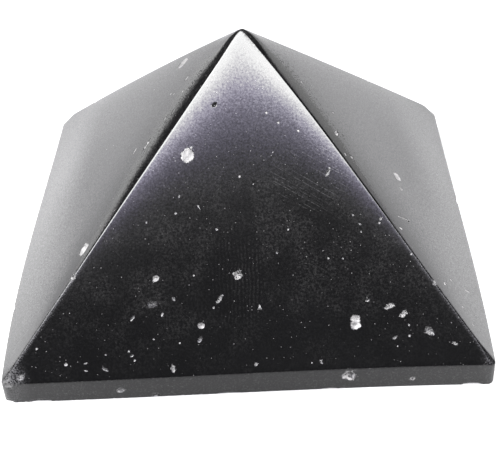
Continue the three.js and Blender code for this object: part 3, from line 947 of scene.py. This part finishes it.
def stone_relief(nodes, look, place, marks, noises, covers):
    """Direction that the surface faces, with its slow waves, fine relief and grain."""
    fine, middle, grain = noises
    crust, broken, satin, _ = covers
    lines, on_front = marks
    slow = nodes.plus(nodes.noise(place, "waves"), nodes.noise(place, "ripples"))
    height = nodes.plus(
        nodes.times(slow, look.ripple),
        nodes.times(grain, satin, GROUND_RELIEF),
        nodes.times(middle, broken, BROKEN_RELIEF),
        nodes.times(fine, crust, MINERAL_RELIEF),
        nodes.times(lines, SCRATCH_RELIEF),
    )
    named = {"Height": nodes.times(height, MM), "Strength": 1.0, "Distance": 1.0}
    bump = nodes.add("ShaderNodeBump", named=named).outputs[0]
    named = {"Vector": place, "Scale": GRAIN_WAVES, "Detail": GRAIN_DETAIL}
    tilt = nodes.add("ShaderNodeTexNoise", named=named).outputs["Color"]
    tilt = nodes.vector("SUBTRACT", tilt, GRAIN_MEAN).outputs[0]
    tilt = nodes.scaled(tilt, nodes.blend(on_front, look.grain * SIDE_GRAIN, look.grain))
    return nodes.vector("NORMALIZE", nodes.vector("ADD", bump, tilt).outputs[0]).outputs[0]


def glass_material(look):
    """Polished obsidian, with pale mineral in its pits, grey chips and a satin girdle."""
    material, nodes = new_material("obsidian")
    place = nodes.add("ShaderNodeTexCoord").outputs["Object"]
    place = nodes.vector("MULTIPLY", place, (1 / MM, 1 / MM, 1 / MM)).outputs[0]
    pale, broken, satin, frosted = (nodes.attribute(name) for name in FINISHES)
    noises = [nodes.noise(place, name) for name in ("fine", "middle", "grain")]
    lines, left, on_front = scratches_and_stripes(nodes, place)

    cover = nodes.range(noises[0], *MINERAL_COVER)
    crust = nodes.math("MULTIPLY", pale, cover, clamp=True)
    bright = nodes.times(specks(nodes, place, *BRIGHT_SPECKS), BRIGHT_MINERAL)
    covers = (nodes.math("MAXIMUM", crust, bright), broken, satin, frosted)

    shader = nodes.add("ShaderNodeBsdfPrincipled", named={
        "Base Color": stone_colour(nodes, look, place, (lines, left), noises, covers),
        "Roughness": stone_roughness(nodes, look, place, noises, covers),
        "Normal": stone_relief(nodes, look, place, (lines, on_front), noises, covers),
        "IOR": IOR,
    })
    nodes.add("ShaderNodeOutputMaterial", shader.outputs[0])
    return material


# The camera, in millimetres in the frame of the uncentred blank
SENSOR_WIDTH = 36.0
CAMERA_PLACE = (2.17073, -110.03696, 86.10414)
CAMERA_AHEAD = (-0.0152737, 0.7951557, -0.60621293)
CAMERA_UP = (0.03045711, 0.60637231, 0.79459738)

FLOOR_SEGMENTS = 96

# The floor's own glow, painted light as a pool in front of the stone, in metres: where it ends, and
# the place and reach of the painted shadow that dims it just before the stone
PAINTED_LIGHT_FALL = (-0.03, 0.06)
PAINTED_LIGHT_SKEW = 0.1
PAINTED_SHADOW_PLACE = (0.0, -0.045, 0.0)
PAINTED_SHADOW_REACH = (0.015, 0.045)

# The soft box, in distances for each unit of height: the radiance of its soft front edge
# against distance, its skews, offset, sides and back, and the radiances that are tinted
BOX_EDGE = (
    (0.34, 23.5), (0.42, 21.5), (0.48, 14.5), (0.54, 8.3), (0.60, 4.3), (0.65, 2.7),
    (0.71, 1.65), (0.78, 0.95), (0.86, 0.52), (0.95, 0.24), (1.10, 0.12), (1.40, 0.07),
    (1.58, 0.04),
)
EDGE_SPAN = 1.6
FRONT_SKEW = 0.25
BACK_SKEW = 0.8
BOX_OFFSET = 0.3
BOX_SIDES = (0.62, 1.08)
BOX_BACK = (0.2, 0.34)
TINT_COMES = (0.5, 1.6)
TINT_GOES = (5.0, 18.0)
LOWEST = 0.02

# The dimmer light above and behind, in distances forward for each unit of height
OVERHEAD_BACK = (-1.2, -0.6)
OVERHEAD_FRONT = (-0.45, -0.15)

# The low walls: the turns at which they change, the heights of the tops and feet of the right
# one and of the left one behind and beside the stone, and how they dim towards the viewer
WALL_TURN = (-0.2, 0.35)
WALL_BEHIND = (-0.85, -0.45)
WALL_TOPS = (0.17, 0.095, 0.115)
WALL_FEET = (0.10, 0.02, 0.03)
WALL_NEAR = (-0.1, 0.25)
WALL_DIMMED = 0.35


def floor_material(look):
    """Matt pale surface that glows though it is no lamp: a painted pool of light in front of the
    stone that fades out behind it, dimmed by a painted shadow just before the stone.
    """
    material, nodes = new_material("pale_floor")
    place = nodes.add("ShaderNodeTexCoord").outputs["Object"]
    right, back, _ = nodes.add("ShaderNodeSeparateXYZ", place).outputs
    back = nodes.math("MULTIPLY_ADD", right, PAINTED_LIGHT_SKEW, back)
    # Painted light: the floor glows in front of the stone and fades out behind it
    painted_glow = nodes.range(back, *PAINTED_LIGHT_FALL, look.painted_glow, 0.0, curve="SMOOTHERSTEP")
    # Painted shadow: the glow is dimmed round a place just before the stone
    away = nodes.vector("DISTANCE", place, PAINTED_SHADOW_PLACE).outputs["Value"]
    shader = nodes.add("ShaderNodeBsdfPrincipled", named={
        "Base Color": rgba(look.floor),
        "Roughness": 1.0,
        "Specular IOR Level": 0.0,
        "Emission Color": rgba(look.floor),
        "Emission Strength": nodes.times(painted_glow, nodes.range(away, *PAINTED_SHADOW_REACH)),
    })
    nodes.add("ShaderNodeOutputMaterial", shader.outputs[0])
    return material


def soft_box(nodes, look, across, forward, sideways):
    """Light of the soft box, brightest at its back, with a tinted soft front edge."""
    skewed_on = nodes.math("MULTIPLY_ADD", across, -FRONT_SKEW, forward)
    ramp = nodes.add("ShaderNodeValToRGB", nodes.math("DIVIDE", skewed_on, EDGE_SPAN))
    ramp.color_ramp.interpolation = "LINEAR"
    stops = ramp.color_ramp.elements
    while len(stops) < len(BOX_EDGE):
        stops.new(0.5)
    for stop, (distance, light) in zip(stops, BOX_EDGE):
        stop.position = distance / EDGE_SPAN
        share = float(smooth(*TINT_COMES, light) * (1.0 - smooth(*TINT_GOES, light)))
        tint = [1.0 + (c - 1.0) * share for c in look.penumbra]
        stop.color = rgba([light / BOX_EDGE[0][1] * c for c in tint])
    back = nodes.math("MULTIPLY_ADD", nodes.math("MINIMUM", across, 0.0), -BACK_SKEW, forward)
    inside = nodes.times(sideways, nodes.range(back, *BOX_BACK))
    return nodes.scaled(nodes.mix(inside, rgba((0, 0, 0)), ramp.outputs[0]), look.soft_box)


def low_walls(nodes, look, x, y, z):
    """Light of the pale walls low down."""
    turn = nodes.math("ARCTAN2", x, y)
    left = nodes.range(turn, *WALL_TURN, 1.0, 0.0)
    behind = nodes.range(turn, *WALL_BEHIND)
    top, foot = (
        nodes.blend(left, at_right, nodes.blend(behind, near_left, behind_left))
        for at_right, behind_left, near_left in (WALL_TOPS, WALL_FEET)
    )
    strength = nodes.blend(left, look.wall_right, look.wall_left)
    near = nodes.range(nodes.range(y, *WALL_NEAR), 0.0, 1.0, WALL_DIMMED, 1.0)
    return nodes.times(nodes.range(z, foot, top, 1.0, 0.0), strength, near)


def studio_light(look):
    """World of a soft box overhead with a soft front edge, and pale walls low down."""
    world = bpy.data.worlds.new("studio")
    world.use_nodes = True
    nodes = Nodes(world.node_tree)
    direction = nodes.add("ShaderNodeTexCoord").outputs["Generated"]
    x, y, z = nodes.add("ShaderNodeSeparateXYZ", direction).outputs
    height = nodes.math("MAXIMUM", z, LOWEST)
    across = nodes.math("DIVIDE", x, height)
    forward = nodes.times(nodes.math("DIVIDE", y, height), -1.0)
    width = nodes.math("ABSOLUTE", nodes.plus(across, BOX_OFFSET))
    sideways = nodes.range(width, *BOX_SIDES, 1.0, 0.0)

    box = soft_box(nodes, look, across, forward, sideways)
    overhead = nodes.times(
        nodes.range(forward, *OVERHEAD_BACK),
        nodes.range(forward, *OVERHEAD_FRONT, 1.0, 0.0),
        sideways,
        look.overhead,
    )
    rest = nodes.plus(low_walls(nodes, look, x, y, z), overhead, look.room)
    rest = nodes.add("ShaderNodeCombineXYZ", rest, rest, rest).outputs[0]
    background = nodes.add("ShaderNodeBackground", nodes.vector("ADD", box, rest).outputs[0])
    nodes.add("ShaderNodeOutputWorld", background.outputs[0])
    return world


class PyramidLook(bpy.types.PropertyGroup):
    """Colours and finish of the stone"""

    glass: FloatVectorProperty(
        name="Glass", description="Colour of the polished volcanic glass",
        subtype="COLOR", min=0.0, max=1.0, default=(0.0014, 0.0014, 0.0017))
    girdle: FloatVectorProperty(
        name="Girdle", description="Colour of the ground girdle and underside",
        subtype="COLOR", min=0.0, max=1.0, default=(0.002, 0.002, 0.0023))
    chip: FloatVectorProperty(
        name="Chips", description="Colour of fresh chips and frosted corners",
        subtype="COLOR", min=0.0, max=1.0, default=(0.06, 0.06, 0.062))
    mineral: FloatVectorProperty(
        name="Mineral", description="Colour of the pale mineral in the pits",
        subtype="COLOR", min=0.0, max=1.0, default=(0.62, 0.61, 0.6))
    mineral_dark: FloatVectorProperty(
        name="Mineral shade", description="Darker colour of the pale mineral",
        subtype="COLOR", min=0.0, max=1.0, default=(0.34, 0.335, 0.335))
    polish: FloatProperty(
        name="Polish", description="Roughness of the polished sides, 0 is a mirror",
        subtype="FACTOR", min=0.0, max=1.0, default=0.08)
    grain: FloatProperty(
        name="Grain", description="How far the fine grain of the polish tilts the surface",
        min=0.0, max=1.0, default=0.07, precision=3)
    ripple: FloatProperty(
        name="Ripple", description="Height of the polish's slow waves, in thousandths of a metre",
        min=0.0, max=0.1, default=0.002, precision=4)


class StageLook(bpy.types.PropertyGroup):
    """Floor, light and camera of the studio"""

    floor: FloatVectorProperty(
        name="Floor", description="Colour of the pale floor",
        subtype="COLOR", min=0.0, max=1.0, default=(0.45, 0.45, 0.45))
    # Strength of the floor's painted light, the glow in front of the stone
    painted_glow: FloatProperty(
        name="Floor light", description="Light that the pale floor gives off in front of the stone",
        min=0.0, max=10.0, default=2.2)
    floor_radius: FloatProperty(
        name="Floor radius", description="How far the floor reaches from the stone",
        subtype="DISTANCE", unit="LENGTH", min=0.1, max=10.0, default=2.5)
    soft_box: FloatProperty(
        name="Soft box", description="Radiance of the soft box overhead in front",
        min=0.0, max=100.0, default=23.5)
    overhead: FloatProperty(
        name="Overhead", description="Radiance of the dimmer light above and behind",
        min=0.0, max=100.0, default=2.0)
    wall_left: FloatProperty(
        name="Left wall", description="Radiance of the low pale wall on the left",
        min=0.0, max=10.0, default=2.0)
    wall_right: FloatProperty(
        name="Right wall", description="Radiance of the low pale wall on the right",
        min=0.0, max=10.0, default=1.0)
    room: FloatProperty(
        name="Room", description="Radiance of the dark rest of the room",
        min=0.0, max=10.0, default=0.08)
    penumbra: FloatVectorProperty(
        name="Penumbra", description="Tint of the soft edge of the soft box",
        subtype="COLOR", min=0.0, max=2.0, default=(1.03, 0.98, 1.26))
    lens: FloatProperty(
        name="Lens", description="Focal length on a 36 mm wide sensor, in millimetres",
        min=10.0, max=300.0, default=83.84)


def show(data, name):
    """Put the data into the scene as an object of the name."""
    thing = bpy.data.objects.new(name, data)
    bpy.context.scene.collection.objects.link(thing)
    return thing


class OBSIDIAN_OT_pyramid(bpy.types.Operator):
    """Build the obsidian pyramid with its pits, stains, chips and finishes"""

    bl_idname = "obsidian.pyramid"
    bl_label = "Pyramid"

    def execute(self, context):
        data = pyramid_mesh("polished_pyramid")
        data.materials.append(glass_material(context.scene.pyramid_look))
        stone = show(data, "polished_pyramid")
        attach(stone, "root")
        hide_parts(NODE)
        return {"FINISHED"}


class OBSIDIAN_OT_stage(bpy.types.Operator):
    """Make the pale floor, the soft studio light and the camera"""

    bl_idname = "obsidian.stage"
    bl_label = "Stage"

    def execute(self, context):
        look = context.scene.stage_look
        disc = bmesh.new()
        bmesh.ops.create_circle(
            disc, cap_ends=True, segments=FLOOR_SEGMENTS, radius=look.floor_radius)
        data = bpy.data.meshes.new("floor")
        disc.to_mesh(data)
        disc.free()
        data.materials.append(floor_material(look))
        show(data, "floor")

        context.scene.world = studio_light(look)
        context.scene.view_settings.view_transform = "Standard"

        camera = bpy.data.cameras.new("camera")
        camera.sensor_width = SENSOR_WIDTH
        camera.lens = look.lens
        eye = show(camera, "camera")
        ahead, upward = Vector(CAMERA_AHEAD).normalized(), Vector(CAMERA_UP)
        right = ahead.cross(upward).normalized()
        upward = right.cross(ahead)
        turn = Matrix((right, upward, -ahead)).transposed().to_4x4()
        centre, _ = blank_centre()
        place = Matrix.Translation((Vector(CAMERA_PLACE) - Vector(centre)) * MM)
        eye.matrix_world = place @ turn
        context.scene.camera = eye
        return {"FINISHED"}


class OBSIDIAN_PT_panel(bpy.types.Panel):
    """The pyramid and its stage"""

    bl_idname = "OBSIDIAN_PT_panel"
    bl_label = "Obsidian pyramid"
    bl_space_type = "VIEW_3D"
    bl_region_type = "UI"
    bl_category = "Obsidian"

    def draw(self, context):
        for group in (context.scene.pyramid_look, context.scene.stage_look):
            box = self.layout.box()
            for name in group.bl_rna.properties.keys():
                if name not in ("rna_type", "name"):
                    box.prop(group, name)
        for operator in (OBSIDIAN_OT_stage, OBSIDIAN_OT_pyramid):
            self.layout.operator(operator.bl_idname)


CLASSES = (PyramidLook, StageLook, OBSIDIAN_OT_stage, OBSIDIAN_OT_pyramid, OBSIDIAN_PT_panel)


def register():
    for cls in CLASSES:
        bpy.utils.register_class(cls)
    bpy.types.Scene.pyramid_look = PointerProperty(type=PyramidLook)
    bpy.types.Scene.stage_look = PointerProperty(type=StageLook)


def unregister():
    del bpy.types.Scene.stage_look
    del bpy.types.Scene.pyramid_look
    for cls in reversed(CLASSES):
        bpy.utils.unregister_class(cls)


def main():
    register()
    bpy.ops.obsidian.stage()
    bpy.ops.obsidian.pyramid()


if __name__ == "__main__":
    main()
